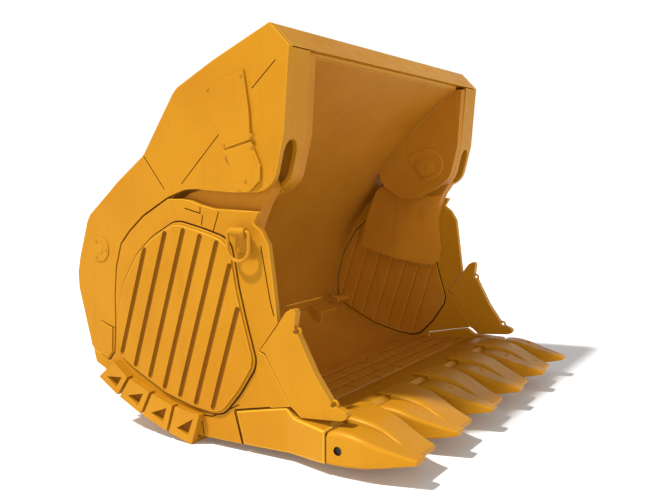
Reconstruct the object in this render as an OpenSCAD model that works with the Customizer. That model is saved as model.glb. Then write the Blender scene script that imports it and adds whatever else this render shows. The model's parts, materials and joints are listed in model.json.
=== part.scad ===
// Face shovel bucket: a back half that hangs on the stick, and a clam that opens to dump.
// Frame: X across the bucket, -Y out of the mouth, Z up, origin under the middle of its box.
// Side outlines are [y, z] points in millimetres; x is measured out from the middle plane.

/* [Main sizes] */
// Distance between the outer faces of the two side plates
body_w = 5500; // [5300:10:5600]
// Thickness of the outer side plates and of the clam walls
side_t = 80; // [60:5:90]
// Distance between neighbouring teeth
tooth_pitch = 1080; // [1070:5:1090]
// Width of a tooth where it meets the lip
tooth_w = 400; // [360:10:410]

/* [Clam hinge] */
// Radius of the pins that the clam turns on
hinge_pin_r = 110; // [90:5:120]
// Radial clearance of every turning or pressed pin
pin_fit = 0.05; // [0.02:0.01:0.09]

/* [Stick pivots] */
// Distance from the middle plane to the middle of each pair of ears
ear_x = 820; // [780:10:860]
// Gap between the two ears of a pair
ear_gap = 360; // [320:10:400]
// Radius of the stick pin bores
stick_r = 110; // [90:5:120]
// Radius of the tilt cylinder pin bores
tilt_r = 90; // [70:5:100]

/* [Hidden] */
$fn = 64;

paint = [0.90, 0.62, 0.13];
shade = [0.70, 0.45, 0.10];
steel = [0.62, 0.62, 0.62];
dark = [0.20, 0.18, 0.16];

half_w = body_w / 2;
side_in = half_w - side_t;         // inner face of the side plates and walls
tower_in = 2165;                   // inner face of the tower inner plate
tower_in_t = 150;
tower_front_t = 60;
arm_x0 = 2435;                     // the hinge arm stands between these planes
arm_x1 = side_in - 30;
cheek_x0 = tower_in + tower_in_t + 15;
running_gap = 20;                  // gap between the clam and the back half

hinge = [-200, 3330];
lever = hinge + [450, 0];
barrel_pivot = hinge + [400, 700];
rod_length = norm(lever - barrel_pivot);
rod_tilt = atan2(lever[1] - barrel_pivot[1], lever[0] - barrel_pivot[0]);
small_pin_r = 50;
open_pivot_gap = 18;               // looseness of the rod eye on its pin
cylinder_x = (arm_x0 + arm_x1) / 2;

stick_pivot = [2110, 2270];
tilt_pivot = [860, 3790];
ear_t = 80;

teeth = 6;
tooth_y = -1365;                   // back face of the teeth, front of the lip
tip_y = -2400;
tooth_pin = [-1520, 310];
tooth_pin_r = 50;

// Arc of n steps about the centre c, from angle a to angle b
function arc(c, r, a, b, n = 8) = [for (i = [0:n]) let (t = a + (b - a) * i / n) c + r * [cos(t), sin(t)]];
function shifted(points, by) = [for (p = points) p + by];
function reversed(points) = [for (i = [len(points) - 1:-1:0]) points[i]];

// Split line between the halves, from the top of the clam wall to the heel
split = [[951, 2940], [1347, 2720], [1590, 2520], [1742, 2355], [1835, 2050], [1868, 1700],
    [1872, 1265], [1900, 960], [1992, 840], [2295, 975]];
// Rear outline of the back half, from the top beam down to the heel
rear = [[-570, 4870], [220, 4520], [765, 4240], [840, 4165], [1325, 3455], [1765, 3135], [2280, 2710],
    [2335, 2620], [2485, 2155], [2530, 1950], [2520, 1745], [2395, 1300]];
// Front edge of a tower, from its rounded lower corner up to the beam
tower_edge = concat(arc([-345, 3340], 315, 270, 190, 8), [[-749, 3675], [-809, 4445], [-825, 4610]]);
// Lower edge of a tower, from the rounded corner to the split line
tower_under = [[-69, 3020], [237, 3035], [510, 3055], [683, 3045], [793, 3010]];
// Face of the back plate that the load slides on, from the top down
inner = [[-705, 4552], [-139, 4105], [347, 3590], [685, 3225], [1070, 2800], [1420, 2350],
    [1670, 1850], [1800, 1400], [1850, 1010]];
// Outer face of the rear skin, from the top down
skin = [[109, 4457], [560, 3930], [960, 3380], [1380, 2960], [1720, 2480], [1870, 2100],
    [1960, 1700], [2090, 1300], [2180, 985]];
// Top of the floor and underside of the base, from the lip to the heel
floor_top = [[-700, 420], [300, 390], [520, 395], [850, 440], [1220, 550], [1590, 700], [1800, 880]];
base_low = [[-700, 115], [430, 95], [560, 95], [950, 195], [1370, 345], [1765, 525], [2085, 720],
    [2235, 785]];

// Solid of an outline in the side view, between the planes x0 and x1
module slab(points, x0, x1) {
    translate([x0, 0, 0]) rotate([90, 0, 90]) linear_extrude(x1 - x0) polygon(points);
}
// Sheet of thickness t on one side of an open line in the side view
module sheet(line, t, x0, x1) {
    slab(concat(line, reversed(thick(line, t))), x0, x1);
}
// The open line moved sideways by t, to its left when t is positive
function thick(line, t) = [for (i = [0:len(line) - 1])
    let (a = line[max(i - 1, 0)], b = line[i], c = line[min(i + 1, len(line) - 1)])
    let (u = b == a ? (c - b) / norm(c - b) : (b - a) / norm(b - a))
    let (v = b == c ? u : (c - b) / norm(c - b))
    let (m = (u + v) / norm(u + v))
    b + t / (m * v) * [-m[1], m[0]]];
// Round bar along X through the point p of the side view
module bar(p, r, x0, x1) {
    translate([x0, p[0], p[1]]) rotate([0, 90, 0]) cylinder(r = r, h = x1 - x0);
}
// One copy at each side of the bucket: side is 1 for the right, -1 for the left
module on(side) {
    if (side > 0) children();
    else mirror([1, 0, 0]) children();
}
// Puts a finished part where the origin is under the middle of the whole box
module placed(side = 1) {
    translate([0, -65, 0]) on(side) children();
}

// ---- back half ----

module back_plate() color(shade) {
    sheet([for (i = [0:3]) inner[i]], 70, -tower_in + 1, tower_in - 1);
    sheet([for (i = [3:8]) inner[i]], 70, -side_in + 1, side_in - 1);
}

module rear_skin() color(paint) sheet(skin, -45, -side_in + 1, side_in - 1);

module top_beam() color(paint) {
    wall = 45;
    outside = [[-825, 4610], [-570, 4870], [220, 4520], [112, 4462], [-655, 4612], [-700, 4600]];
    hollow = [[-750, 4620], [-560, 4812], [100, 4520], [60, 4508], [-655, 4655]];
    slab(outside, -side_in + 1, -side_in + wall);
    slab(outside, side_in - wall, side_in - 1);
    difference() {
        slab(outside, -side_in + wall, side_in - wall);
        slab(hollow, -side_in + wall - 1, side_in - wall + 1);
    }
    // strip that closes the corner above the back plate
    slab([[-715, 4610], [-709, 4558], [-664, 4612], [-664, 4625]], -tower_in + 1, tower_in - 1);
}

module side_plate() color(paint) difference() {
    slab(concat(tower_edge, rear, reversed(shifted(split, [running_gap / 2, 8])), reversed(tower_under)),
        side_in, half_w);
    bar(hinge, hinge_pin_r + pin_fit, side_in - 1, half_w + 1);
    bar(barrel_pivot, small_pin_r + pin_fit, side_in - 1, half_w + 1);
}

module tower_inner() color(shade) difference() {
    slab(concat([[-800, 4560], [-745, 3675]], arc([-345, 3340], 310, 190, 245, 6), [[-306, 2951]],
        [[-87, 2830], [119, 2800], [290, 2824], [560, 3000], [650, 3120], [668, 3238], [724, 3292]],
        [[870, 3390], [500, 3880], [80, 4370], [-560, 4560]]), tower_in, tower_in + tower_in_t);
    bar(hinge, hinge_pin_r + pin_fit, tower_in - 1, tower_in + tower_in_t + 1);
    bar(barrel_pivot, small_pin_r + pin_fit, tower_in - 1, tower_in + tower_in_t + 1);
}

module tower_front() color(shade) difference() {
    x0 = tower_in + tower_in_t + 1;
    sheet(concat([for (i = [0:10]) tower_edge[i]], [[-823, 4594]]), -tower_front_t, x0, side_in - 1);
    // slot that the hinge arm swings through, with a round top
    translate([arm_x0 - 15, -1000, 2900]) cube([side_in - arm_x0 + 20, 800, 600]);
    hull() {
        translate([(arm_x0 - 15 + side_in) / 2, -1000, 3500]) rotate([-90, 0, 0])
            cylinder(r = 117, h = 400);
        translate([arm_x0 - 15, -1000, 3400]) cube([side_in - arm_x0 + 15, 400, 50]);
    }
}

module pivot_ears() color(paint) for (s = [-1, 1]) {
    x0 = ear_x + s * (ear_gap + ear_t) / 2 - ear_t / 2;
    difference() {
        union() {
            slab(concat([[225, 4500], [760, 4225], [835, 4150], [1315, 3445], [1755, 3125], [2270, 2700]],
                [[2325, 2615], [2475, 2150], [2520, 1950], [2510, 1745], [2385, 1300], [2290, 1010]],
                reversed(shifted(skin, [1, 1]))), x0, x0 + ear_t);
            bar(stick_pivot, 210, x0 - 25, x0 + ear_t + 25);
            bar(tilt_pivot, 155, x0 - 25, x0 + ear_t + 25);
        }
        bar(stick_pivot, stick_r, x0 - 30, x0 + ear_t + 30);
        bar(tilt_pivot, tilt_r, x0 - 30, x0 + ear_t + 30);
    }
}

module hinge_pin() color(steel) {
    bar(hinge, hinge_pin_r, tower_in - 20, half_w - 10);
    bar(hinge, hinge_pin_r + 40, tower_in - 50, tower_in - 1);
}

cover_t = 35;
module tower_covers() color(paint) {
    split_a = [-308, 3588];
    split_b = [72, 3492];
    // cylinder cover above the line, hinge cover below it
    slab([[-226, 4385], [-300, 3950], split_a + [-12, 22], split_b + [-6, 20], [330, 4170], [300, 4230]],
        half_w + 0.3, half_w + cover_t);
    slab(concat([split_a + [-20, 0], [-455, 3328], [-445, 3160]], arc([-240, 3190], 160, 215, 340, 8),
        [[-30, 3330], split_b]), half_w + 0.3, half_w + cover_t);
    // round cover of the stick pin line
    bar(stick_pivot, 155, half_w + 0.3, half_w + 15);
}

cover_bolt_at = [[-196, 4320], [300, 4190], [35, 3425], [-342, 3530], [-249, 3157], [60, 3560],
    [-330, 3650]];
module cover_bolts() color(shade) for (side = [-1, 1]) on(side) {
    for (p = cover_bolt_at) bar(p, 24, half_w + cover_t + 0.3, half_w + cover_t + 16);
    for (a = [60, 180, 300]) bar(stick_pivot + 115 * [cos(a), sin(a)], 18, half_w + 15.3, half_w + 28);
}

module stop_block() color(paint) slab([[1915, 1270], [2110, 1335], [2150, 1290], [2160, 930], [2005, 862],
    [1930, 960]], half_w + 0.3, half_w + 18);

// ---- clam cylinders ----

module along_cylinder() {
    translate([cylinder_x, barrel_pivot[0], barrel_pivot[1]]) rotate([rod_tilt, 0, 0]) children();
}
module cylinder_barrel() color(paint) along_cylinder() difference() {
    union() {
        rotate([0, 90, 0]) cylinder(r = 82, h = 180, center = true);
        translate([0, 60, 0]) rotate([-90, 0, 0]) cylinder(r = 95, h = 450);
        translate([0, 500, 0]) rotate([-90, 0, 0]) cylinder(r = 105, h = 45);
    }
    rotate([0, 90, 0]) cylinder(r = small_pin_r + pin_fit, h = 220, center = true);
    translate([0, 100, 0]) rotate([-90, 0, 0]) cylinder(r = 75, h = 405);
    translate([0, 490, 0]) rotate([-90, 0, 0]) cylinder(r = 50 + pin_fit, h = 80);
}
module cylinder_rod() color(steel) along_cylinder() difference() {
    union() {
        translate([0, rod_length, 0]) rotate([0, 90, 0]) cylinder(r = 98, h = 90, center = true);
        translate([0, 130, 0]) rotate([-90, 0, 0]) cylinder(r = 50, h = rod_length - 200);
        translate([0, 110, 0]) rotate([-90, 0, 0]) cylinder(r = 75 - pin_fit, h = 45);
    }
    translate([0, rod_length, 0]) rotate([0, 90, 0])
        cylinder(r = small_pin_r + open_pivot_gap, h = 100, center = true);
}
module cylinder_pins() color(steel) for (side = [-1, 1]) on(side)
    bar(barrel_pivot, small_pin_r, tower_in + 5, half_w - 5);
module rod_pins() color(steel) for (side = [-1, 1]) on(side)
    bar(lever, small_pin_r, arm_x0 - 12, arm_x1 + 12);

// ---- clam ----

module floor_plate() color(shade) sheet(floor_top, -60, -side_in + 1, side_in - 1);

module base_plate() color(paint) sheet(base_low, 50, -side_in + 1, side_in - 1);

module floor_ribs() color(paint) for (x = [-2200:880:2200])
    slab([[-699, 170], [430, 146], [555, 146], [930, 242], [1345, 392], [1735, 570], [1790, 600],
        [1703, 707], [1603, 631], [1237, 482], [861, 371], [525, 328], [300, 323], [-699, 353]], x - 20, x + 20);

module rear_sill() color(paint) slab([[1806, 890], [1846, 838], [1762, 760], [1800, 720], [2035, 777],
    [2205, 844], [2278, 945], [1996, 820], [1885, 988]], -side_in + 1, side_in - 1);

module clam_wall() color(paint) slab(concat(
    [[-166, 2818], [-402, 2812], [-323, 2682], [-437, 2595], [-532, 2445], [-586, 2070], [-641, 1655]],
    [[-652, 1572], [-415, 1262], [-390, 1222], [-468, 1196], [-822, 645], [-542, 590], [-40, 485]],
    [[-150, 95], [430, 95], [560, 95], [950, 195], [1370, 345], [1765, 525], [2085, 720], [2235, 785]],
    reversed(shifted(split, [-running_gap / 2, -8])),
    [[729, 2935], [599, 2920], [450, 2875], [241, 2830]]), side_in, half_w);

// two slopes that thin the arm towards its lower front: a point on each and its turns about Y and Z
arm_slopes = [[[arm_x0, -387, 2898], -13.12, 24.28], [[cheek_x0 + 25, 480, 1885], -7.12, 12.71]];
cheek = [[-298, 2685], [-240, 2455], [-260, 2170], [-320, 1650], [70, 1690], [480, 1780], [870, 1890],
    [1120, 1970], [985, 2489], [813, 2923], [676, 2999]];
module hinge_arm() color(shade) difference() {
    union() {
        hull() {
            bar(hinge, 225, arm_x0, arm_x1);
            bar(lever, 110, arm_x0, arm_x1);
        }
        slab(concat([[-415, 3290], [-503, 3067], [-387, 2898]], cheek, [[290, 3100]]), arm_x0, arm_x1);
        // inner cheek, lower than the tower so that it swings past it
        slab(concat(arc(hinge, 480, 322, 246, 8), cheek), cheek_x0, arm_x0 + 1);
        // weld pad between the arm and the wall
        slab([[-60, 2700], [-180, 2455], [-200, 2170], [-260, 1720], [70, 1750], [870, 1940], [1040, 2020],
            [860, 2480], [700, 2700]], arm_x1 - 1, side_in - 0.3);
    }
    bar(hinge, hinge_pin_r + 25, arm_x0 - 1, arm_x1 + 1);
    bar(lever, small_pin_r + pin_fit, arm_x0 - 1, arm_x1 + 1);
    for (s = arm_slopes) translate(s[0]) rotate([0, s[1], s[2]]) translate([-1000, -1500, -2000])
        cube([1000, 3000, 3000]);
    // fork that holds the rod eye
    hull() {
        bar(lever, 122, cylinder_x - 54, cylinder_x + 54);
        for (a = [85, 135]) bar(lever + 220 * [cos(a), sin(a)], 70, cylinder_x - 54, cylinder_x + 54);
    }
}

module arm_bush() color(steel) difference() {
    bar(hinge, hinge_pin_r + 25 - pin_fit, arm_x0, arm_x1);
    bar(hinge, hinge_pin_r + pin_fit, arm_x0 - 1, arm_x1 + 1);
}

panel = [[1796, 1020], [1813, 1463], [1698, 1863], [1456, 2238], [1194, 2462], [849, 2650], [728, 2660],
    [378, 2585], [96, 2508], [-13, 2425], [-65, 2231], [-116, 1949], [-220, 1561], [-350, 1134],
    [-335, 1022], [-125, 702], [103, 440], [248, 405], [541, 430], [997, 540], [1279, 669], [1569, 802],
    [1765, 926]];
module side_panel() color(paint) {
    slab(panel, half_w + 0.3, half_w + 30);
    // leaning ribs
    intersection() {
        slab([for (p = panel) let (c = [700, 1550]) c + 0.93 * (p - c)], half_w + 29, half_w + 60);
        for (k = [-3:3]) translate([half_w + 29, 578 + k * 270, 1550]) rotate([17.5, 0, 0])
            translate([0, -92, -1300]) cube([21, 184, 2600]);
    }
}

heel_low = [[551, 0], [946, 100], [1372, 250], [1764, 435], [2083, 630]];
heel_top = [[439, 400], [845, 432], [1219, 544], [1589, 688], [1850, 876]];
heel_in = 2350;
heel_out = half_w + 100;
module heel_blocks() color(paint) for (i = [0:3]) {
    a = heel_low[i];
    b = heel_low[i + 1] + (i == 3 ? [0, 0] : 0.10 * (heel_low[i] - heel_low[i + 1]));
    c = heel_top[i + 1] + 0.12 * (heel_top[i] - heel_top[i + 1]);
    d = heel_top[i] + (i == 0 ? [-20, -20] : [0, 0]);
    m = (a + b + c + d) / 4;
    difference() {
        union() {
            slab([a, b, c, d], half_w + 0.3, heel_out);
            // foot that wraps under the base plate
            slab([a, b, b + [-18, 62], a + [-12, 62]], heel_in, half_w + 1);
        }
        slab([m + 0.55 * (a - m), m + 0.5 * (b - m) + [-10, 10], m + 0.6 * (d - m)],
            heel_out - 60, heel_out + 1);
    }
}

// Band at the end of the lip that spreads out to the outer tooth
module side_rail() color(paint) intersection() {
    slab([[-1357, 135], [-900, 115], [-700, 105], [-160, 95], [-51, 479], [-548, 583], [-760, 624],
        [-880, 535], [-1357, 500]], half_w - 60, rail_out);
    linear_extrude(700) polygon([[half_w - 60, -1364], [rail_out, -1364], [rail_out, -1330], [half_w, -780],
        [half_w, -40], [half_w - 60, -40]]);
}

rail_out = tooth_pitch * 2.5 + tooth_w / 2;   // outer face of the end teeth
lip_section = [[-1365, 140], [-1365, 480], [-1300, 520], [-1000, 500], [-702, 421], [-702, 114]];
module nose(x) {
    // wedge that a tooth slides over
    translate([x - 120, 0, 0]) rotate([90, 0, 90]) linear_extrude(240)
        polygon([[-1360, 200], [-1360, 440], [-1820, 360], [-1820, 260]]);
}
function tooth_x(i) = (i - (teeth - 1) / 2) * tooth_pitch;
module lip_casting() color(paint) difference() {
    union() {
        slab(lip_section, -half_w + 61, half_w - 61);
        for (i = [0:teeth - 1]) nose(tooth_x(i));
    }
    for (i = [0:teeth - 1]) bar(tooth_pin, tooth_pin_r, tooth_x(i) - 130, tooth_x(i) + 130);
}

tooth_side = [[tooth_y, 140], [tooth_y, 470], [-1420, 512], [-1700, 508], [-2000, 425], [tip_y, 330],
    [tip_y, 282], [-2040, 205], [-1790, 160], [-1560, 140]];
module tooth(i) color(paint) translate([tooth_x(i), 0, 0]) difference() {
    intersection() {
        slab(tooth_side, -tooth_w / 2, tooth_w / 2);
        linear_extrude(600) polygon([[-tooth_w / 2, tooth_y], [tooth_w / 2, tooth_y], [tooth_w / 2, -1850],
            [95, tip_y], [-95, tip_y], [-tooth_w / 2, -1850]]);
    }
    slab([[tooth_y + 1, 199], [tooth_y + 1, 441], [-1830, 362], [-1830, 258]], -121, 121);
    bar(tooth_pin, tooth_pin_r, -tooth_w, tooth_w);
}
module tooth_pins() color(dark) for (i = [0:teeth - 1])
    bar(tooth_pin, tooth_pin_r - pin_fit, tooth_x(i) - tooth_w / 2 + 30, tooth_x(i) + tooth_w / 2 - 30);

shroud_side = [[-1180, 527], [-1180, 550], [-1450, 552], [-1740, 508], [-1940, 425], [-2150, 330],
    [-2300, 285], [-2300, 235], [-1800, 150], [-1372, 135], [-1372, 527]];
module lip_shrouds() color(paint) for (i = [0:teeth - 2]) translate([tooth_x(i), 0, 0]) {
    left = tooth_w / 2 + 25;
    right = tooth_pitch - tooth_w / 2 - 25;
    intersection() {
        slab(shroud_side, 0, tooth_pitch);
        linear_extrude(600) polygon([[left, -1180], [right, -1180], [right, -1400], [600, -2300],
            [330, -2300], [260, -2240], [150, -2300], [125, -2300], [left, -1850]]);
    }
}

shroud_eyes = [[-890, 1500], [-1370, 745]];
module wing_shroud() color(paint) difference() {
    slab([[-409, 1235], [-652, 1545], [-765, 1705], [-835, 1750], [-885, 1745], [-897, 1705], [-874, 1545],
        [-928, 1460], [-1143, 1060], [-1374, 745], [-1530, 690], [-1550, 655], [-1535, 615], [-1478, 590],
        [-967, 545], [-835, 650], [-478, 1215]], side_in - 15, half_w + 8);
    for (p = shroud_eyes) bar(p, 26, side_in - 20, half_w + 10);
}

plate_w = 660;
plate_d = 208;
plate_gap = 40;
module floor_wear_plates() color(shade) for (row = [0:3]) {
    y0 = -690 + row * (plate_d + plate_gap);
    odd = row % 2;
    for (k = [-4:4 - odd]) {
        x0 = max((k - (1 - odd) / 2) * plate_w + plate_gap / 2, -side_in + 20);
        x1 = min((k + (1 + odd) / 2) * plate_w - plate_gap / 2, side_in - 20);
        translate([x0, y0, 421.5 - 7.45 * row]) rotate([-1.72, 0, 0]) cube([x1 - x0, plate_d, 18]);
    }
}

module corner_stops() color(shade) for (side = [-1, 1]) on(side) {
    bar([1600, 960], 70, 2260, side_in - 0.3);
    slab([[1480, 658], [1588, 703], [1690, 790], [1650, 940], [1450, 860]], 1580, 2080);
}

lug_x = half_w + 110;
lug_z = 2590;
module lifting_lug() color(paint) difference() {
    union() {
        translate([lug_x, -300, lug_z]) rotate([-90, 0, 0]) cylinder(r = 48, h = 200);
        translate([half_w + 0.3, -295, 2350]) cube([40, 190, 200]);
        translate([half_w + 0.3, -280, 2520]) cube([110, 160, 60]);
    }
    translate([lug_x, -310, lug_z]) rotate([-90, 0, 0]) cylinder(r = 24, h = 220);
}
module lifting_ring() color(paint) translate([lug_x, -200, lug_z]) {
    bar_r = 22;
    hang = 290;
    rise = 105;
    // straight top bar in the lug, two round corners, two legs and the round bottom
    translate([0, -rise, 0]) rotate([-90, 0, 0]) cylinder(r = bar_r, h = 2 * rise);
    for (s = [-1, 1]) {
        translate([0, s * rise, -45]) rotate([0, 90, 0]) rotate([0, 0, s > 0 ? 90 : 180])
            rotate_extrude(angle = 90) translate([45, 0]) circle(r = bar_r);
        translate([0, s * (rise + 45), -hang + 105]) cylinder(r = bar_r, h = hang - 150);
    }
    translate([0, 0, -hang + 105]) rotate([0, 90, 0]) rotate([0, 0, -90]) rotate_extrude(angle = 180)
        translate([rise + 45, 0]) circle(r = bar_r);
}

placed() back_plate();
placed() rear_skin();
placed() top_beam();
placed(-1) side_plate();  // side_plate_left
placed() side_plate();  // side_plate_right
placed(-1) tower_inner();  // tower_inner_left
placed() tower_inner();  // tower_inner_right
placed(-1) tower_front();  // tower_front_left
placed() tower_front();  // tower_front_right
placed(-1) pivot_ears();  // pivot_ears_left
placed() pivot_ears();  // pivot_ears_right
placed(-1) hinge_pin();  // hinge_pin_left
placed() hinge_pin();  // hinge_pin_right
placed(-1) tower_covers();  // tower_covers_left
placed() tower_covers();  // tower_covers_right
placed() cover_bolts();
placed(-1) stop_block();  // stop_block_left
placed() stop_block();  // stop_block_right
placed(-1) cylinder_barrel();  // cylinder_barrel_left
placed() cylinder_barrel();  // cylinder_barrel_right
placed(-1) cylinder_rod();  // cylinder_rod_left
placed() cylinder_rod();  // cylinder_rod_right
placed() cylinder_pins();
placed() rod_pins();
placed() floor_plate();
placed() base_plate();
placed() floor_ribs();
placed() rear_sill();
placed(-1) clam_wall();  // clam_wall_left
placed() clam_wall();  // clam_wall_right
placed(-1) hinge_arm();  // hinge_arm_left
placed() hinge_arm();  // hinge_arm_right
placed(-1) arm_bush();  // arm_bush_left
placed() arm_bush();  // arm_bush_right
placed(-1) side_panel();  // side_panel_left
placed() side_panel();  // side_panel_right
placed(-1) heel_blocks();  // heel_blocks_left
placed() heel_blocks();  // heel_blocks_right
placed(-1) side_rail();  // side_rail_left
placed() side_rail();  // side_rail_right
placed() lip_casting();
placed() tooth(0);  // tooth_1
placed() tooth(1);  // tooth_2
placed() tooth(2);  // tooth_3
placed() tooth(3);  // tooth_4
placed() tooth(4);  // tooth_5
placed() tooth(5);  // tooth_6
placed() tooth_pins();
placed() lip_shrouds();
placed(-1) wing_shroud();  // wing_shroud_left
placed() wing_shroud();  // wing_shroud_right
placed() floor_wear_plates();
placed() corner_stops();
placed(-1) lifting_lug();  // lifting_lug_left
placed() lifting_lug();  // lifting_lug_right
placed(-1) lifting_ring();  // lifting_ring_left
placed() lifting_ring();  // lifting_ring_right
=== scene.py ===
import bpy, bmesh, json, math
from mathutils import Vector, Matrix

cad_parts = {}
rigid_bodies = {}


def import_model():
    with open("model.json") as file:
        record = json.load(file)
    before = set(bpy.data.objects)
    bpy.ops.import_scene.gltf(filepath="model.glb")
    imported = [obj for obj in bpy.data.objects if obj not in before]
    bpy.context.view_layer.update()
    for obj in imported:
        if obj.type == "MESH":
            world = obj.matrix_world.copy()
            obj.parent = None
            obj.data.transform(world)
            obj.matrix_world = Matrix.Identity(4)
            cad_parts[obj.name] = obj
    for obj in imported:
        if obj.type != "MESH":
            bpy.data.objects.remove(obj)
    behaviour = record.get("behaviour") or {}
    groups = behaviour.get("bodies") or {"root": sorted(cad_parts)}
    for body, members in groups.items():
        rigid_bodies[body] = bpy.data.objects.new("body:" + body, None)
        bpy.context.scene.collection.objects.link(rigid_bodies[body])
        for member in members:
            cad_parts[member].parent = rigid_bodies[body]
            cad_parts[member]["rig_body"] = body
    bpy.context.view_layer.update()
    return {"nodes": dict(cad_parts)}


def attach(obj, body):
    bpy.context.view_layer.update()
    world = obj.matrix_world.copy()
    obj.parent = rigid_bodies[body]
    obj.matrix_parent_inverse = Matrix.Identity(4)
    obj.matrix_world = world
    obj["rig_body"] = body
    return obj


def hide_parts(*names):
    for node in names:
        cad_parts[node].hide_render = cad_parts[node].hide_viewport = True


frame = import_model()
SIDES = (("left", -1), ("right", 1))


# ------------------------------------------------------------------ materials
def new_material(name):
    m = bpy.data.materials.new(name)
    m.use_nodes = True
    t = m.node_tree
    t.nodes.clear()
    out = t.nodes.new("ShaderNodeOutputMaterial")
    b = t.nodes.new("ShaderNodeBsdfPrincipled")
    t.links.new(b.outputs[0], out.inputs[0])
    return m, t, b


def noise(t, coord, scale, detail=3.0, rough=0.55, stretch=None):
    n = t.nodes.new("ShaderNodeTexNoise")
    n.inputs["Scale"].default_value = scale
    n.inputs["Detail"].default_value = detail
    n.inputs["Roughness"].default_value = rough
    if stretch:
        mp = t.nodes.new("ShaderNodeMapping")
        mp.inputs["Scale"].default_value = stretch
        t.links.new(coord, mp.inputs[0])
        coord = mp.outputs[0]
    t.links.new(coord, n.inputs["Vector"])
    return n.outputs["Fac"]


def ramp(t, fac, lo, hi, a=(0, 0, 0), b=(1, 1, 1)):
    r = t.nodes.new("ShaderNodeValToRGB")
    r.color_ramp.elements[0].position = lo
    r.color_ramp.elements[1].position = hi
    r.color_ramp.elements[0].color = (*a, 1)
    r.color_ramp.elements[1].color = (*b, 1)
    t.links.new(fac, r.inputs[0])
    return r.outputs[0]


def mix(t, fac, a, b):
    n = t.nodes.new("ShaderNodeMix")
    n.data_type = "RGBA"
    for value, i in ((fac, 0), (a, 6), (b, 7)):
        if hasattr(value, "is_linked"):
            t.links.new(value, n.inputs[i])
        elif i == 0:
            n.inputs[0].default_value = value
        else:
            n.inputs[i].default_value = (*value, 1)
    return n.outputs[2]


def bump(t, b, layers):
    normal = None
    for height, strength, distance in layers:
        n = t.nodes.new("ShaderNodeBump")
        n.inputs["Strength"].default_value = strength
        n.inputs["Distance"].default_value = distance
        t.links.new(height, n.inputs["Height"])
        if normal is not None:
            t.links.new(normal, n.inputs["Normal"])
        normal = n.outputs[0]
    t.links.new(normal, b.inputs["Normal"])


def paint(name, base, rough=0.42, wear=0.15, grime=0.25, cast=0.0, scrape=0.0):
    """Machine paint: broad tone changes, run-down grime, scrapes, fine chips, and a coarser grain on castings."""
    m, t, b = new_material(name)
    co = t.nodes.new("ShaderNodeTexCoord").outputs["Object"]
    tone = [c * k for c, k in zip(base, (0.93, 0.88, 0.80))]
    c = mix(t, ramp(t, noise(t, co, 0.9, 4), 0.38, 0.66), base, tone)
    dirt = [c0 * k for c0, k in zip(base, (0.66, 0.58, 0.60))]
    run = ramp(t, noise(t, co, 1.0, 6, 0.62, (7.0, 7.0, 0.8)), 0.56, 0.78, b=(grime,) * 3)
    c = mix(t, run, c, dirt)
    if scrape:
        mark = ramp(t, noise(t, co, 1.0, 5, 0.6, (16.0, 1.6, 1.6)), 0.60, 0.74, b=(scrape,) * 3)
        c = mix(t, mark, c, (0.30, 0.235, 0.15))
    chip = ramp(t, noise(t, co, 26.0, 5, 0.7), 0.70, 0.715, b=(wear,) * 3)
    c = mix(t, chip, c, (0.16, 0.12, 0.09))
    t.links.new(c, b.inputs["Base Color"])
    r = ramp(t, noise(t, co, 5.0, 5), 0.3, 0.75, (rough - 0.06,) * 3, (rough + 0.12,) * 3)
    t.links.new(r, b.inputs["Roughness"])
    b.inputs["Specular IOR Level"].default_value = 0.22
    b.inputs["Specular Tint"].default_value = (1.0, 0.72, 0.30, 1)
    layers = [(noise(t, co, 150.0, 2), 0.10, 0.002), (noise(t, co, 3.2, 2), 0.16, 0.010)]
    if cast:
        layers.append((noise(t, co, 34.0, 4, 0.6), cast, 0.004))
    bump(t, b, layers)
    return m


def steel(name, base, rough, turned=0.0):
    m, t, b = new_material(name)
    co = t.nodes.new("ShaderNodeTexCoord").outputs["Object"]
    c = mix(t, ramp(t, noise(t, co, 9.0, 5), 0.35, 0.7), base, [x * 0.7 for x in base])
    grease = ramp(t, noise(t, co, 3.0, 4), 0.58, 0.72, b=(0.6,) * 3)
    c = mix(t, grease, c, (0.05, 0.038, 0.025))
    t.links.new(c, b.inputs["Base Color"])
    b.inputs["Metallic"].default_value = 1.0
    r = ramp(t, noise(t, co, 12.0, 4), 0.3, 0.8, (rough - 0.08,) * 3, (rough + 0.14,) * 3)
    t.links.new(r, b.inputs["Roughness"])
    layers = [(noise(t, co, 90.0, 3), 0.15, 0.001)]
    if turned:
        layers.append((noise(t, co, 1.0, 2, 0.5, (600.0, 8.0, 8.0)), turned, 0.001))
    bump(t, b, layers)
    return m


def weld_paint(name, base):
    """Paint over a weld bead, with the ripples of the run."""
    m, t, b = new_material(name)
    co = t.nodes.new("ShaderNodeTexCoord").outputs["Object"]
    c = mix(t, ramp(t, noise(t, co, 14.0, 4), 0.4, 0.7), base, [c0 * 0.72 for c0 in base])
    t.links.new(c, b.inputs["Base Color"])
    b.inputs["Roughness"].default_value = 0.46
    bump(t, b, [(noise(t, co, 60.0, 2), 0.7, 0.006), (noise(t, co, 220.0, 3), 0.3, 0.002)])
    return m


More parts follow.
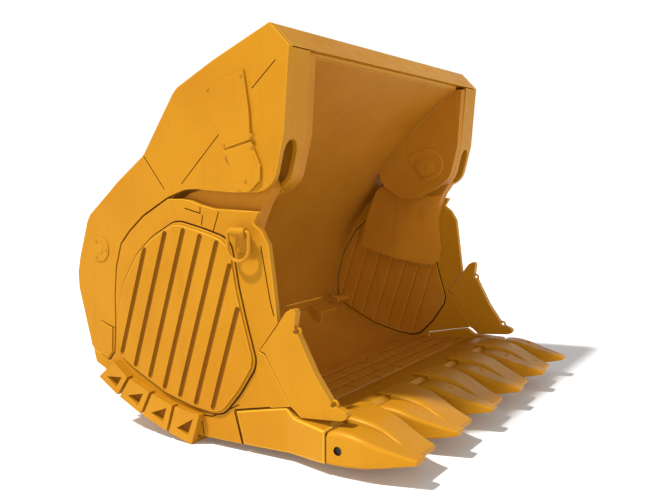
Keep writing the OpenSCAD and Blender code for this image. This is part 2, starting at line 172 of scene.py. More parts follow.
PAINT = paint("plate_paint", (0.425, 0.192, 0.009))
# paler paint for rounded plate edges: a painted highlight, with worn chips
EDGE_WEAR_AND_HIGHLIGHT = paint("edge_wear_and_highlight_paint", (0.52, 0.262, 0.020), 0.36, wear=0.5, grime=0.05)
CAST = paint("casting_paint", (0.435, 0.200, 0.011), 0.36, wear=0.2, grime=0.15, cast=0.22)
# paler paint for rounded casting edges: a painted highlight, with worn chips
CAST_EDGE_WEAR_AND_HIGHLIGHT = paint("casting_edge_wear_and_highlight", (0.56, 0.30, 0.026), 0.28, wear=0.45, grime=0.0, cast=0.18)
INNER = paint("inner_paint", (0.43, 0.180, 0.014), 0.5, wear=0.35, grime=0.4, scrape=0.10)
FLOOR = paint("floor_paint", (0.46, 0.195, 0.018), 0.52, wear=0.6, grime=0.5, cast=0.15, scrape=0.22)
# near-black paint for the faces of cuts, seams, bores and gap pieces: painted shade in recesses and gaps
GAP_SHADE = paint("gap_shade_paint", (0.050, 0.016, 0.002), 0.8, wear=0.0, grime=0.5)
# dark brown paint for rib channels, floor-plate joints and heel window floors: painted shade
SHADE = paint("groove_shade_paint", (0.23, 0.090, 0.006), 0.7, wear=0.0, grime=0.6)
WELD = weld_paint("weld_paint", (0.41, 0.182, 0.010))
PIN = steel("pin_steel", (0.58, 0.56, 0.53), 0.34, turned=0.3)
ROD = steel("rod_chrome", (0.74, 0.74, 0.75), 0.16)
DARK = steel("dark_steel", (0.09, 0.075, 0.065), 0.5)
BOLT = paint("bolt_paint", (0.38, 0.165, 0.010), 0.36, wear=0.7, grime=0.3)

# slots of a piece: its faces, its rounded edges (paler, as a painted highlight, with worn chips), its carved faces
# (near black, as painted shade)
PLATE = (PAINT, EDGE_WEAR_AND_HIGHLIGHT, GAP_SHADE)
CASTING = (CAST, CAST_EDGE_WEAR_AND_HIGHLIGHT, GAP_SHADE)
INSIDE = (INNER, EDGE_WEAR_AND_HIGHLIGHT, GAP_SHADE)
ALL_GAP_SHADE = (GAP_SHADE, GAP_SHADE, GAP_SHADE)
ALL_SHADE = (SHADE, SHADE, SHADE)
PIN_MATS = (PIN, PIN, DARK)


# ------------------------------------------------------------------ building
SOURCE_Y = 65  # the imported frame's y is the source's y less this, in mm
BEVEL_ANGLE = math.radians(25)  # edges sharper than this are rounded


def M(x, y, z):
    """A point of the CAD source, in mm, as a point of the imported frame, in metres."""
    return Vector((x / 1000, (y - SOURCE_Y) / 1000, z / 1000))


def object_from(name, bm, body, mats, bevel=0.0, segments=3, smooth=38, cuts=(), cut_slot=2):
    """Object on a body from a bmesh, with edges rounded by bevel metres and the cuts carved out."""
    bmesh.ops.recalc_face_normals(bm, faces=bm.faces)
    if bevel:
        sharp = [e for e in bm.edges if len(e.link_faces) == 2 and e.calc_face_angle(0) > BEVEL_ANGLE]
        bmesh.ops.bevel(bm, geom=sharp, offset=bevel, offset_type="OFFSET", segments=segments,
                        profile=0.5, affect="EDGES", clamp_overlap=True, material=1, loop_slide=True)
    me = bpy.data.meshes.new(name)
    bm.to_mesh(me)
    bm.free()
    for m in mats:
        me.materials.append(m)
    o = bpy.data.objects.new(name, me)
    bpy.context.scene.collection.objects.link(o)
    if cuts:
        carve(o, cuts, cut_slot)
        me = o.data
    shade(me, smooth)
    w = o.modifiers.new("normals", "WEIGHTED_NORMAL")
    w.keep_sharp = True
    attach(o, body)
    return o


def shade(me, degrees):
    """Smooth faces, with the edges sharper than degrees kept sharp."""
    bm = bmesh.new()
    bm.from_mesh(me)
    for f in bm.faces:
        f.smooth = True
    for e in bm.edges:
        e.smooth = not (len(e.link_faces) != 2 or e.calc_face_angle(0) > math.radians(degrees))
    bm.to_mesh(me)
    bm.free()


def merged(meshes):
    """One bmesh from several, which are freed."""
    whole = bmesh.new()
    for c in meshes:
        bmesh.ops.recalc_face_normals(c, faces=c.faces)
        piece = bpy.data.meshes.new("piece")
        c.to_mesh(piece)
        c.free()
        whole.from_mesh(piece)
        bpy.data.meshes.remove(piece)
    return whole


def carve(o, cutters, slot):
    """Cuts the bmeshes in cutters out of o; the new faces take the material in that slot."""
    whole = merged(cutters)
    for f in whole.faces:
        f.material_index = slot
    tool_mesh = bpy.data.meshes.new("cutter")
    whole.to_mesh(tool_mesh)
    whole.free()
    for m in o.data.materials:
        tool_mesh.materials.append(m)
    tool = bpy.data.objects.new("cutter", tool_mesh)
    bpy.context.scene.collection.objects.link(tool)
    b = o.modifiers.new("cut", "BOOLEAN")
    b.operation, b.solver, b.object, b.use_self = "DIFFERENCE", "EXACT", tool, True
    bpy.context.view_layer.update()
    done = bpy.data.meshes.new_from_object(o.evaluated_get(bpy.context.evaluated_depsgraph_get()))
    o.modifiers.clear()
    old, o.data = o.data, done
    done.name = o.name
    bpy.data.meshes.remove(old)
    bpy.data.objects.remove(tool)


def prism_mesh(pts, x0, x1, side=1):
    """bmesh of a side-view outline between two planes. x0 and x1 may be numbers or functions of (y, z)."""
    bm = bmesh.new()
    f0 = x0 if callable(x0) else (lambda y, z: x0)
    f1 = x1 if callable(x1) else (lambda y, z: x1)
    a = [bm.verts.new(M(side * f0(y, z), y, z)) for y, z in pts]
    b = [bm.verts.new(M(side * f1(y, z), y, z)) for y, z in pts]
    bm.faces.new(a)
    bm.faces.new(b[::-1])
    n = len(pts)
    for i in range(n):
        bm.faces.new((a[i], a[(i + 1) % n], b[(i + 1) % n], b[i]))
    bmesh.ops.recalc_face_normals(bm, faces=bm.faces)
    return bm


def prism(name, pts, x0, x1, side, body, mats, bevel, **k):
    return object_from(name, prism_mesh(pts, x0, x1, side), body, mats, bevel, **k)


def refine(node, mats, bevel=0.006, **k):
    """A CAD node's own shape with its flat faces joined and its edges rounded."""
    bm = bmesh.new()
    bm.from_mesh(frame["nodes"][node].data)
    bmesh.ops.remove_doubles(bm, verts=bm.verts, dist=1e-5)
    bmesh.ops.dissolve_limit(bm, angle_limit=math.radians(0.5), verts=bm.verts, edges=bm.edges)
    body = frame["nodes"][node]["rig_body"]
    o = object_from(node + "_shape", bm, body, mats, bevel, **k)
    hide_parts(node)
    return o


def strip(p, q, width, x0, x1, side):
    """Straight bar along the line p-q of the side view, half a width longer at both ends."""
    u = Vector((q[0] - p[0], q[1] - p[1])).normalized()
    n = Vector((-u.y, u.x)) * width / 2
    e = u * (width / 2)
    p, q = Vector(p) - e, Vector(q) + e
    return prism_mesh([tuple(p + n), tuple(q + n), tuple(q - n), tuple(p - n)], x0, x1, side)


def seams(lines, side, face, width=11, depth=9):
    """Cutters for narrow seams along lines on a plate's face."""
    return [strip(p, q, width, face - depth, face + 60, side) for line in lines for p, q in zip(line, line[1:])]


def round_bar(p, q, r, sides=20, ends=True):
    """Round bar bmesh between two points, in metres, with round ends or flat ones."""
    bm = bmesh.new()
    axis = q - p
    turn = axis.to_track_quat("Z", "Y").to_matrix()
    if ends:
        steps = 5
        angles = [math.radians(90 * i / steps) for i in range(1, steps + 1)]
        profile = [(-r * math.cos(a), r * math.sin(a)) for a in angles]
        profile += [(axis.length - z, radius) for z, radius in profile[::-1]]
    else:
        profile = [(0, r), (axis.length, r)]
    rings = []
    for z, radius in profile:
        turns = [2 * math.pi * i / sides for i in range(sides)]
        rings.append([bm.verts.new(p + turn @ Vector((radius * math.cos(a), radius * math.sin(a), z))) for a in turns])
    for a, b in zip(rings, rings[1:]):
        for i in range(sides):
            bm.faces.new((a[i], a[(i + 1) % sides], b[(i + 1) % sides], b[i]))
    bm.faces.new(rings[0][::-1])
    bm.faces.new(rings[-1])
    bmesh.ops.recalc_face_normals(bm, faces=bm.faces)
    return bm


def disc_mesh(centre, r, axis, height, sides=32, r_top=None):
    """Solid round bmesh that starts at centre and rises along axis, in metres."""
    bm = bmesh.new()
    bmesh.ops.create_cone(bm, cap_ends=True, segments=sides, radius1=r,
                          radius2=r if r_top is None else r_top, depth=height)
    turn = Vector(axis).to_track_quat("Z", "Y").to_matrix().to_4x4()
    middle = centre + Vector(axis).normalized() * height / 2
    bmesh.ops.transform(bm, verts=bm.verts, matrix=Matrix.Translation(middle) @ turn)
    return bm


def joined(name, meshes, body, mats, bevel=0.0, **k):
    """One object from several bmeshes."""
    return object_from(name, merged(meshes), body, mats, bevel, **k)


def ring_mesh(centre, axis, major, minor, n=28, k=12):
    """Round ring bmesh about an axis, in metres: n steps round the ring, k round its section."""
    bm = bmesh.new()
    turn = Vector(axis).to_track_quat("Z", "Y").to_matrix()
    rows = []
    for i in range(n):
        a = 2 * math.pi * i / n
        row = []
        for j in range(k):
            b = 2 * math.pi * j / k
            out = major + minor * math.cos(b)
            point = Vector((out * math.cos(a), out * math.sin(a), minor * math.sin(b)))
            row.append(bm.verts.new(centre + turn @ point))
        rows.append(row)
    for i in range(n):
        row, after = rows[i], rows[(i + 1) % n]
        for j in range(k):
            bm.faces.new((row[j], after[j], after[(j + 1) % k], row[(j + 1) % k]))
    bmesh.ops.recalc_face_normals(bm, faces=bm.faces)
    return bm


def beads(name, lines, r, body):
    """Weld beads along lines of points, in metres."""
    cu = bpy.data.curves.new(name, "CURVE")
    cu.dimensions = "3D"
    cu.bevel_depth = r
    cu.bevel_resolution = 3
    cu.use_fill_caps = True
    for line in lines:
        sp = cu.splines.new("POLY")
        sp.points.add(len(line) - 1)
        for point, v in zip(sp.points, line):
            point.co = (*v, 1)
    cu.materials.append(WELD)
    o = bpy.data.objects.new(name, cu)
    bpy.context.scene.collection.objects.link(o)
    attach(o, body)
    return o


def smooth_rows(rows, steps=5):
    """Rows of numbers joined by a smooth curve through them."""
    out = []
    for i in range(len(rows) - 1):
        a, b, c, d = rows[max(i - 1, 0)], rows[i], rows[i + 1], rows[min(i + 2, len(rows) - 1)]
        for s in range(steps):
            t = s / steps
            h = []
            for k in range(len(b)):
                rise = c[k] - b[k]
                m0 = (c[k] - a[k]) / 2 * (1 if i else 0.6)
                m1 = (d[k] - b[k]) / 2
                # a slope against the rise would overshoot
                m0 = m0 if rise * m0 > 0 else 0
                m1 = m1 if rise * m1 > 0 else 0
                h.append((2 * t**3 - 3 * t**2 + 1) * b[k] + (t**3 - 2 * t**2 + t) * m0
                         + (-2 * t**3 + 3 * t**2) * c[k] + (t**3 - t**2) * m1)
            out.append(h)
    out.append(list(rows[-1]))
    return out


def loft_mesh(rows, x, inset=7):
    """Body with rounded cross-sections, moved by x.

    A row is y, left x, right x, top left z, top right z, bottom z, corner radius, in mm.
    """
    corner = 5  # steps round each corner
    under = 0.45  # radius of the lower corners, as a share of the upper ones
    rows = smooth_rows(rows)
    first, last = list(rows[0]), list(rows[-1])

    def smaller(r, dy):
        y, xl, xr, zl, zr, zb, radius = r
        return [y + dy, xl + inset, xr - inset, zl - inset, zr - inset, zb + inset, max(radius - inset, 6)]

    rows = [smaller(first, inset * 0.9)] + rows + [smaller(last, -inset * 0.9)]
    rows[1][0] = first[0]
    bm = bmesh.new()
    rings = []
    for y, xl, xr, zl, zr, zb, r in rows:
        r = min(r, (xr - xl) * 0.42, (min(zl, zr) - zb) * 0.46)
        rb = r * under
        pts = []
        for cx, cz, rad, a0 in ((xr - r, zr - r, r, 0), (xl + r, zl - r, r, 90),
                                (xl + rb, zb + rb, rb, 180), (xr - rb, zb + rb, rb, 270)):
            for i in range(corner + 1):
                a = math.radians(a0 + 90 * i / corner)
                pts.append((cx + rad * math.cos(a), cz + rad * math.sin(a)))
        rings.append([bm.verts.new(M(x + px, y, pz)) for px, pz in pts])
    n = len(rings[0])
    for a, b in zip(rings, rings[1:]):
        for i in range(n):
            bm.faces.new((a[i], a[(i + 1) % n], b[(i + 1) % n], b[i]))
    bm.faces.new(rings[0][::-1])
    bm.faces.new(rings[-1])
    bmesh.ops.recalc_face_normals(bm, faces=bm.faces)
    return bm


def around(centre, r, degrees):
    """The point of the side view at r from the centre, in that direction."""
    a = math.radians(degrees)
    return centre[0] + r * math.cos(a), centre[1] + r * math.sin(a)


# ------------------------------------------------------------------ plates that keep the CAD's outline
# distances from the middle plane and places in the side view, in mm
HALF = 2750  # outer face of the side plates and walls
SIDE_IN = 2670  # their inner face
HINGE = (-200, 3330)
STICK_PIVOT = (2110, 2270)
TILT_PIVOT = (860, 3790)
PLATE_SEAMS = [[(1324, 3455), (993, 3049)], [(153, 3673), (714, 3118)], [(-644, 4458), (-330, 4176)],
               [(2129, 1339), (1872, 1264)], [(1902, 952), (1992, 839), (2146, 909)]]
WALL_SEAMS = [[(440, 2840), (441, 2772)], [(404, 2744), (420, 2640)], [(167, 2789), (245, 2570)],
              [(-433, 2422), (-553, 1829), (-600, 1660)], [(467, 355), (427, 80)], [(670, 2825), (441, 2772)],
              [(-33, 478), (-143, 100)], [(-38, 494), (-538, 598)], [(-95, 640), (-330, 985)],
              [(-100, 560), (300, 360), (467, 350)]]
for name, s in SIDES:
    # the faces of the carved seams take the near-black painted shade of slot 2
    refine("side_plate_" + name, PLATE, 0.009, cuts=seams(PLATE_SEAMS, s, HALF))
    refine("clam_wall_" + name, PLATE, 0.010, cuts=seams(WALL_SEAMS, s, HALF, 13, 12))
    refine("tower_front_" + name, PLATE, 0.006)
    refine("tower_inner_" + name, INSIDE, 0.010)
    refine("pivot_ears_" + name, PLATE, 0.008)
    refine("hinge_pin_" + name, PIN_MATS, 0.006)
    refine("stop_block_" + name, PLATE, 0.004)
    refine("hinge_arm_" + name, INSIDE, 0.008)
    refine("arm_bush_" + name, PIN_MATS, 0.003)
    refine("side_rail_" + name, CASTING, 0.022, segments=4)
    refine("heel_blocks_" + name, CASTING, 0.010)
    refine("wing_shroud_" + name, CASTING, 0.016, segments=4)
    refine("lifting_lug_" + name, PLATE, 0.004)
    refine("lifting_ring_" + name, (CAST, CAST, GAP_SHADE), 0.0, smooth=60)
    refine("cylinder_barrel_" + name, PLATE, 0.005)
    refine("cylinder_rod_" + name, (ROD, PIN, DARK), 0.003)
refine("back_plate", INSIDE, 0.006)
refine("rear_skin", PLATE, 0.006)
refine("top_beam", PLATE, 0.012)
refine("cylinder_pins", PIN_MATS, 0.003)
refine("rod_pins", PIN_MATS, 0.003)
refine("tooth_pins", (DARK, DARK, DARK), 0.004)
refine("floor_plate", (FLOOR, EDGE_WEAR_AND_HIGHLIGHT, GAP_SHADE), 0.005)
refine("base_plate", PLATE, 0.006)
refine("floor_ribs", INSIDE, 0.004)
refine("rear_sill", INSIDE, 0.006)
refine("lip_casting", CASTING, 0.016, segments=4)
refine("floor_wear_plates", (FLOOR, FLOOR, GAP_SHADE), 0.004, segments=2)
# dark sheet under the wear plates, showing in their joints as painted shade
joint_shade_bed = prism("wear_plate_joint_shade", [(-688, 420.6), (260, 392), (260, 401), (-688, 429.6)],
            -2645, 2645, 1, "clam", ALL_SHADE, 0)
for name, s in SIDES:
    # dark bars in the gap between the side rail and the wing shroud: painted shade
    line = [(-400, 1230), (-473, 1206), (-829, 648)]
    bars = [strip(p, q, 34, HALF - 55, HALF - 22, s) for p, q in zip(line, line[1:])]
    wing = joined("wing_joint_shade_" + name, bars, "clam", ALL_GAP_SHADE)
refine("corner_stops", INSIDE, 0.008)

# ------------------------------------------------------------------ covers and bolts of the side plates
COVER = 35  # height of the covers where they are fullest
UPPER = [(-226, 4385), (-300, 3950), (-320, 3612), (66, 3514), (330, 4170), (300, 4232)]
LOWER = ([(-330, 3586), (-455, 3328), (-445, 3160)]
         + [around((-240, 3190), 160, 215 + 125 * i / 12) for i in range(13)]
         + [(-30, 3330), (72, 3490)])


def fading(y, z):
    """Height of the cover above the plate: full at its front and lower edge, almost flush at its rear."""
    along = ((y + 330) * 0.93 + (z - 3900) * 0.20) / 620
    return HALF + 3 + max(0.0, min(1.0, 1.0 - along)) * (COVER - 3)


def bolt_meshes(y, z, x, side, r=22, h=12):
    """Washer and hexagon head on a plate whose face is at x."""
    p = M(side * x, y, z)
    r, h, out = r / 1000, h / 1000, (side, 0, 0)
    return [disc_mesh(p, r * 1.35, out, h * 0.35), disc_mesh(p, r, out, h, 6, r * 0.93)]


BOLTS = [(-196, 4321), (300, 4193), (35, 3425), (-342, 3530), (-249, 3157), (60, 3560), (-330, 3650)]
for name, s in SIDES:
    for tag, pts in (("upper", UPPER), ("lower", LOWER)):
        cover = prism(f"tower_cover_{tag}_{name}", pts, HALF - 2, fading, s, "back", PLATE, 0.006, segments=3)
        if tag == "upper":
            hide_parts("tower_covers_" + name)
    heads = []
    for y, z in BOLTS:
        heads += bolt_meshes(y, z, fading(y, z) - 1, s)
    for a in (60, 180, 300):
        heads += bolt_meshes(*around(STICK_PIVOT, 115, a), HALF + 14, s, 17, 12)
    bolts = joined("cover_bolt_heads_" + name, heads, "back", (BOLT, CAST_EDGE_WEAR_AND_HIGHLIGHT, GAP_SHADE), 0.002, segments=2)
    if s < 0:
        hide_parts("cover_bolts")
    discs = [disc_mesh(M(s * (HALF - 1), *STICK_PIVOT), 0.155, (s, 0, 0), 0.015, 56),
             disc_mesh(M(s * (HALF + 13), *STICK_PIVOT), 0.062, (s, 0, 0), 0.007, 40)]
    cover = joined("stick_pin_cover_" + name, discs, "back", PLATE, 0.004)

# ------------------------------------------------------------------ painted shade on the floors of the heel block windows
HEEL_LOW = [(551, 0), (946, 100), (1372, 250), (1764, 435), (2083, 630)]
HEEL_TOP = [(439, 400), (845, 432), (1219, 544), (1589, 688), (1850, 876)]
for name, s in SIDES:
    shade_panes = []
    for i in range(4):
        a, b, c, d = (Vector(v) for v in (HEEL_LOW[i], HEEL_LOW[i + 1], HEEL_TOP[i + 1], HEEL_TOP[i]))
        if i < 3:
            b = b + 0.10 * (a - b)
        c = c + 0.12 * (d - c)
        if i == 0:
            d = d - Vector((20, 20))
        mid = (a + b + c + d) / 4
        pane = [mid + 0.53 * (a - mid), mid + 0.48 * (b - mid) + Vector((-10, 10)), mid + 0.58 * (d - mid)]
        shade_panes.append(prism_mesh([tuple(v) for v in pane], HALF + 38, HALF + 44, s))
    windows = joined("heel_window_shade_" + name, shade_panes, "clam", ALL_SHADE)

# ------------------------------------------------------------------ ribbed side panels and inner liners
PANEL = [(1796, 1020), (1813, 1463), (1698, 1863), (1456, 2238), (1194, 2462), (849, 2650), (728, 2660), (378, 2585),
         (96, 2508), (-13, 2425), (-65, 2231), (-116, 1949), (-220, 1561), (-350, 1134), (-335, 1022), (-125, 702),
         (103, 440), (248, 405), (541, 430), (997, 540), (1279, 669), (1569, 802), (1765, 926)]
LINER = [(1735, 960), (1765, 1120), (1755, 1400), (1640, 1790), (1400, 2190), (1150, 2400), (849, 2560), (728, 2590),
         (378, 2540), (96, 2480), (-13, 2405), (-65, 2231), (-116, 1949), (-220, 1561), (-350, 1134), (-335, 1022),
         (-125, 702), (103, 470), (248, 425), (541, 450), (997, 560), (1279, 690), (1560, 822)]
PANEL_CENTRE = (720, 1500)
# the channels lie on leaning lines y = y0 - LEAN (z - LEAN_Z), with y0 from CHANNELS
LEAN, LEAN_Z = 0.315, 1550
CHANNELS = [1531, 1261, 985, 712, 444, 178, -86]


def scaled(pts, k):
    """The outline made k times as large about the panel's centre."""
    cy, cz = PANEL_CENTRE
    return [(cy + k * (y - cy), cz + k * (z - cz)) for y, z in pts]


def rounded(pts, r=70, n=5):
    """The closed outline with its corners rounded."""
    out = []
    for i, p in enumerate(pts):
        a, b, c = Vector(pts[i - 1]), Vector(p), Vector(pts[(i + 1) % len(pts)])
        u, v = (a - b), (c - b)
        k = min(r, u.length * 0.45, v.length * 0.45)
        s, e = b + u.normalized() * k, b + v.normalized() * k
        for j in range(n + 1):
            t = j / n
            out.append(tuple((1 - t) ** 2 * s + 2 * t * (1 - t) * b + t * t * e))
    return out


def line_in(pts, y0):
    """Where the leaning line of y0 enters and leaves a closed outline."""
    hits = []
    for i in range(len(pts)):
        (ay, az), (by, bz) = pts[i - 1], pts[i]
        fa, fb = ay - y0 + LEAN * (az - LEAN_Z), by - y0 + LEAN * (bz - LEAN_Z)
        if fa * fb < 0:
            t = fa / (fa - fb)
            hits.append((ay + t * (by - ay), az + t * (bz - az)))
    hits.sort(key=lambda p: p[1])
    return (hits[0], hits[-1]) if len(hits) > 1 else None


def channels(outline, x, r, side, margin=58):
    """Cutters for round-bottomed channels that stop short of the outline. Very short ones are left out."""
    cut = []
    for y0 in CHANNELS:
        ends = line_in(outline, y0)
        if ends:
            p, q = M(side * x, *ends[0]), M(side * x, *ends[1])
            u = (q - p).normalized()
            if (q - p).length > 0.35:
                cut.append(round_bar(p + u * margin / 1000, q - u * margin / 1000, r / 1000, 24))
    return cut


def outline_gap_shade(name, outline, wide, x, side):
    """Band of painted shade all round a plate that lies on a wall, from its outline to a wider one: the dark of the
    gap at its rim.
    """
    ring = bmesh.new()
    for k in range(len(wide)):
        ring.faces.new([ring.verts.new(M(side * x, *q)) for q in (wide[k - 1], wide[k], outline[k], outline[k - 1])])
    bmesh.ops.remove_doubles(ring, verts=ring.verts, dist=1e-5)
    return object_from(name, ring, "clam", ALL_GAP_SHADE)


for name, s in SIDES:
    outline = rounded(PANEL)
    rim = rounded(scaled(PANEL, 0.975))
    low = prism("side_panel_back_" + name, outline, HALF - 4, HALF + 20, s, "clam", PLATE, 0.006)
    # the ribs' channels take the dark brown painted shade of slot 2
    ribs = prism("side_panel_ribs_" + name, rim, HALF + 10, HALF + 50, s, "clam", (PAINT, EDGE_WEAR_AND_HIGHLIGHT, SHADE), 0.012,
                 segments=4, cuts=channels(rim, HALF + 50 + 8, 36, s))
    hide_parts("side_panel_" + name)
    gap_shade_band = outline_gap_shade("side_panel_gap_shade_" + name, outline, rounded(scaled(PANEL, 1.018)), HALF + 0.6, s)
    outline = rounded(LINER, 50)
    liner = prism("wall_liner_" + name, outline, SIDE_IN - 22, SIDE_IN - 0.5, s, "clam", INSIDE, 0.006,
                  cuts=channels(outline, SIDE_IN - 22 - 30, 42, s, 50), cut_slot=0)
    gap_shade_band = outline_gap_shade("wall_liner_gap_shade_" + name, outline, rounded(scaled(LINER, 1.022), 50), SIDE_IN - 1.0, s)

# ------------------------------------------------------------------ teeth and lip shrouds
TOOTH = [(-1382, -200, 200, 484, 484, 140, 60), (-1440, -200, 200, 510, 510, 138, 66),
         (-1560, -200, 200, 518, 518, 140, 70), (-1700, -200, 200, 504, 504, 150, 70),
         (-1850, -196, 196, 466, 466, 168, 62), (-2000, -172, 172, 422, 422, 196, 50),
         (-2150, -142, 142, 386, 386, 226, 40), (-2300, -112, 112, 352, 352, 258, 28),
         (-2394, -95, 95, 334, 334, 280, 18)]
SHROUD = [(-1186, 228, 852, 548, 540, 520, 10), (-1230, 226, 854, 556, 548, 520, 14),
          (-1366, 226, 854, 558, 550, 520, 16)]
SHROUD_NOSE = [(-1374, 226, 854, 558, 550, 138, 62), (-1460, 226, 850, 556, 548, 140, 70),
               (-1600, 226, 800, 540, 530, 146, 72), (-1740, 226, 765, 512, 500, 152, 70),
               (-1860, 222, 730, 470, 458, 166, 64), (-1960, 203, 690, 428, 418, 182, 56),
               (-2060, 180, 650, 388, 380, 200, 46), (-2180, 150, 615, 340, 336, 216, 34),
               (-2292, 126, 592, 296, 294, 236, 20)]
PITCH = 1080
TOOTH_PIN = (-1520, 310)


def tooth_x(i):
    """Middle of tooth i, from 0 at the left to 5."""
    return (i - 2.5) * PITCH


def mark_meshes(x, y, z, tilt):
    """Small cast mark of two bars and a dot, on a face that tilts by so many degrees."""
    out = []
    for dx, dy, lx, ly in ((-26, 0, 9, 52), (4, 0, 9, 52), (32, 16, 11, 11)):
        bm = bmesh.new()
        bmesh.ops.create_cube(bm, size=1)
        bmesh.ops.scale(bm, vec=(lx / 1000, ly / 1000, 0.014), verts=bm.verts)
        place = Matrix.Translation(M(x + dx, y + dy, z)) @ Matrix.Rotation(math.radians(tilt), 4, "X")
        bmesh.ops.transform(bm, verts=bm.verts, matrix=place)
        out.append(bm)
    return out


tooth_shade_slabs = []
for i in range(6):
    x = tooth_x(i)
    # dark slab in the joint behind each tooth: painted shade
    tooth_shade_slabs.append(prism_mesh([(-1366, 150), (-1366, 468), (-1384, 468), (-1384, 150)], x - 190, x + 190))
    bore = round_bar(M(x - 260, *TOOTH_PIN), M(x + 260, *TOOTH_PIN), 0.050, 36, False)
    # the pin bore's walls take the near-black painted shade of slot 2
    tooth = object_from(f"tooth_body_{i + 1}", loft_mesh(TOOTH, x), "clam", CASTING, smooth=50, cuts=[bore])
    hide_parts(f"tooth_{i + 1}")
tooth_gap_shade = joined("tooth_gap_shade", tooth_shade_slabs, "clam", ALL_GAP_SHADE)
marks, noses = [], []
for i in range(5):
    x = tooth_x(i)
    noses += [loft_mesh(SHROUD, x, inset=4), loft_mesh(SHROUD_NOSE, x)]
    marks += mark_meshes(x + 470, -1660, 519, 16)
for i in range(6):
    marks += mark_meshes(tooth_x(i) + 60, -1800, 482, 15)
shrouds = joined("lip_shroud_bodies", noses, "clam", CASTING, smooth=50)
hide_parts("lip_shrouds")
cast_marks = joined("cast_marks", marks, "clam", CASTING, 0.002, segments=2)

# ------------------------------------------------------------------ eyes on the wing shrouds, hinge housings
HOUSING = [(125, 3471), (-82, 3234), (-158, 3117), (-359, 3126), (-518, 3309), (-470, 3520), (-260, 3640), (60, 3560)]
for name, s in SIDES:
    eyes = [ring_mesh(M(s * 2706, y, z), (1, 0, 0), 0.042, 0.017) for y, z in ((-890, 1500), (-1370, 745))]
    eyes = joined("shroud_eyes_" + name, eyes, "clam", CASTING, smooth=60)
    opening = disc_mesh(M(s * 2100, *HINGE), 0.156, (s, 0, 0), 0.08, 64)
    housing = prism("hinge_housing_" + name, rounded(HOUSING, 90, 6), 2142, 2166, s, "back", INSIDE, 0.007,
                    cuts=[opening])
    discs = [disc_mesh(M(s * 2162, *HINGE), 0.153, (-s, 0, 0), 0.050, 64),
             disc_mesh(M(s * 2117, *HINGE), 0.11, (-s, 0, 0), 0.010, 48)]
    for a in range(0, 360, 60):
        discs.append(disc_mesh(M(s * 2107, *around(HINGE, 78, a)), 0.016, (-s, 0, 0), 0.012, 6))
    cap = joined("hinge_pin_cap_" + name, discs, "back", INSIDE, 0.003)

# ------------------------------------------------------------------ collars and keeper bolts of the ears
EAR_FACES = ((535, -1), (665, 1), (975, -1), (1105, 1))  # x of a boss's face and the way that it looks
for name, s in SIDES:
    collars, bolts = [], []
    for x, way in EAR_FACES:
        collars.append(ring_mesh(M(s * x, *STICK_PIVOT), (1, 0, 0), 0.132, 0.009, 48, 10))
        for a in range(30, 390, 60):
            at = M(s * (x - way), *around(STICK_PIVOT, 172, a))
            bolts.append(disc_mesh(at, 0.017, (way * s, 0, 0), 0.014, 6))
    for x, way in EAR_FACES:
        collars.append(ring_mesh(M(s * x, *TILT_PIVOT), (1, 0, 0), 0.112, 0.009, 48, 10))
    collars = joined("ear_collars_" + name, collars, "back", CASTING, smooth=60)
    bolts = joined("ear_bolts_" + name, bolts, "back", (BOLT, BOLT, GAP_SHADE), 0.002)

# ------------------------------------------------------------------ welds
INNER_LINE = [(-705, 4552), (-139, 4105), (347, 3590), (685, 3225), (1070, 2800),
              (1420, 2350), (1670, 1850), (1800, 1400), (1850, 1010)]
SKIN_LINE = [(109, 4457), (560, 3930), (960, 3380), (1380, 2960), (1720, 2480),
             (1870, 2100), (1960, 1700), (2090, 1300), (2180, 985)]
FLOOR_LINE = [(-700, 420), (300, 390), (520, 395), (850, 440), (1220, 550), (1590, 700), (1800, 880)]
CHEEK_LINE = [(-320, 1648), (70, 1688), (480, 1778), (870, 1888), (1120, 1968)]
BEAD_R = 0.012
back_lines, clam_lines = [], []
for s in (-1, 1):
    back_lines.append([M(s * 2160, y, z) for y, z in INNER_LINE[:4]])
    back_lines.append([M(s * 2666, y, z) for y, z in INNER_LINE[3:]])
    back_lines.append([M(s * 2666, y + 2, z + 2) for y, z in SKIN_LINE])
    for x in (596, 684, 956, 1044):
        back_lines.append([M(s * x, y + 3, z + 2) for y, z in SKIN_LINE])
    clam_lines.append([M(s * 2664, y, z + 3) for y, z in FLOOR_LINE])
    clam_lines.append([M(s * 2436, y, z) for y, z in CHEEK_LINE])
clam_lines.append([M(-2660, -701, 422), M(2660, -701, 422)])
beads("back_welds", back_lines, BEAD_R, "back")
beads("clam_welds", clam_lines, BEAD_R, "clam")

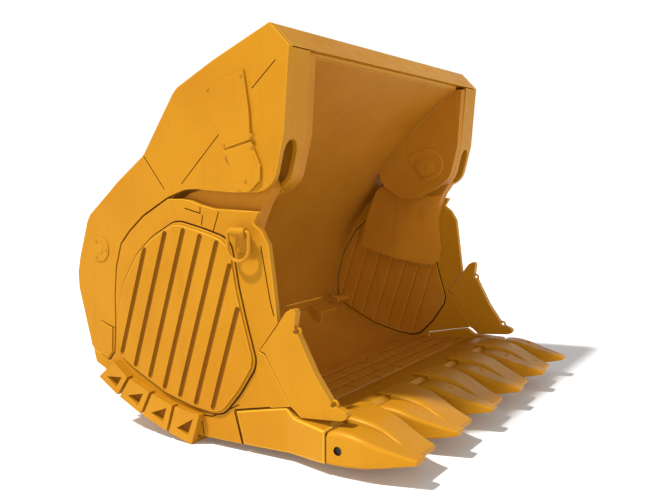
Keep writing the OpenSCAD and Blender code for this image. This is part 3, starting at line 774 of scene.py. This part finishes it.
# ------------------------------------------------------------------ stage, light, camera
grey, tree, shader = new_material("studio_floor")
spots = ramp(tree, noise(tree, tree.nodes.new("ShaderNodeTexCoord").outputs["Object"], 0.6, 3), 0.3, 0.7)
tree.links.new(mix(tree, spots, (0.83, 0.83, 0.83), (0.80, 0.80, 0.80)), shader.inputs["Base Color"])
shader.inputs["Roughness"].default_value = 0.7
plane = bmesh.new()
bmesh.ops.create_grid(plane, x_segments=1, y_segments=1, size=120)
mesh = bpy.data.meshes.new("studio_floor")
plane.to_mesh(mesh)
plane.free()
mesh.materials.append(grey)
ground = bpy.data.objects.new("studio_floor", mesh)
bpy.context.scene.collection.objects.link(ground)

world = bpy.data.worlds.new("studio")
world.use_nodes = True
tree = world.node_tree
split = tree.nodes.new("ShaderNodeSeparateXYZ")
tree.links.new(tree.nodes.new("ShaderNodeTexCoord").outputs["Generated"], split.inputs[0])
# a white sweep near the horizon, darker overhead
sweep = ramp(tree, split.outputs["Z"], 0.36, 0.62, (1, 1, 1), (0.36, 0.36, 0.36))
tree.links.new(sweep, tree.nodes["Background"].inputs[0])
bpy.context.scene.world = world
# name, energy, angle in degrees, direction, shadow
LIGHTS = (("key", 4.5, 4, (0.51, -0.35, -1.0), True),
          ("fill", 0.9, 20, (0.62, 0.66, -0.42), False))
for name, energy, angle, way, shadow in LIGHTS:
    sun = bpy.data.lights.new(name, "SUN")
    sun.energy = energy
    sun.angle = math.radians(angle)
    sun.use_shadow = shadow
    lamp = bpy.data.objects.new(name, sun)
    lamp.rotation_mode = "QUATERNION"
    lamp.rotation_quaternion = Vector(way).to_track_quat("-Z", "Y")
    bpy.context.scene.collection.objects.link(lamp)

bpy.context.scene.view_settings.view_transform = "Standard"
bpy.context.scene.view_settings.gamma = 0.92
cam = bpy.data.cameras.new("camera")
cam.lens = 43.45
cam.sensor_width = 36
eye = bpy.data.objects.new("camera", cam)
eye.location = (-10.011, -5.814, 3.253)
az, el = math.radians(58.97), math.radians(5.534)  # the camera looks this far right of +Y, and this far down
look = Vector((math.sin(az) * math.cos(el), math.cos(az) * math.cos(el), -math.sin(el)))
eye.rotation_mode = "QUATERNION"
eye.rotation_quaternion = look.to_track_quat("-Z", "Y")
bpy.context.scene.collection.objects.link(eye)
bpy.context.scene.camera = eye
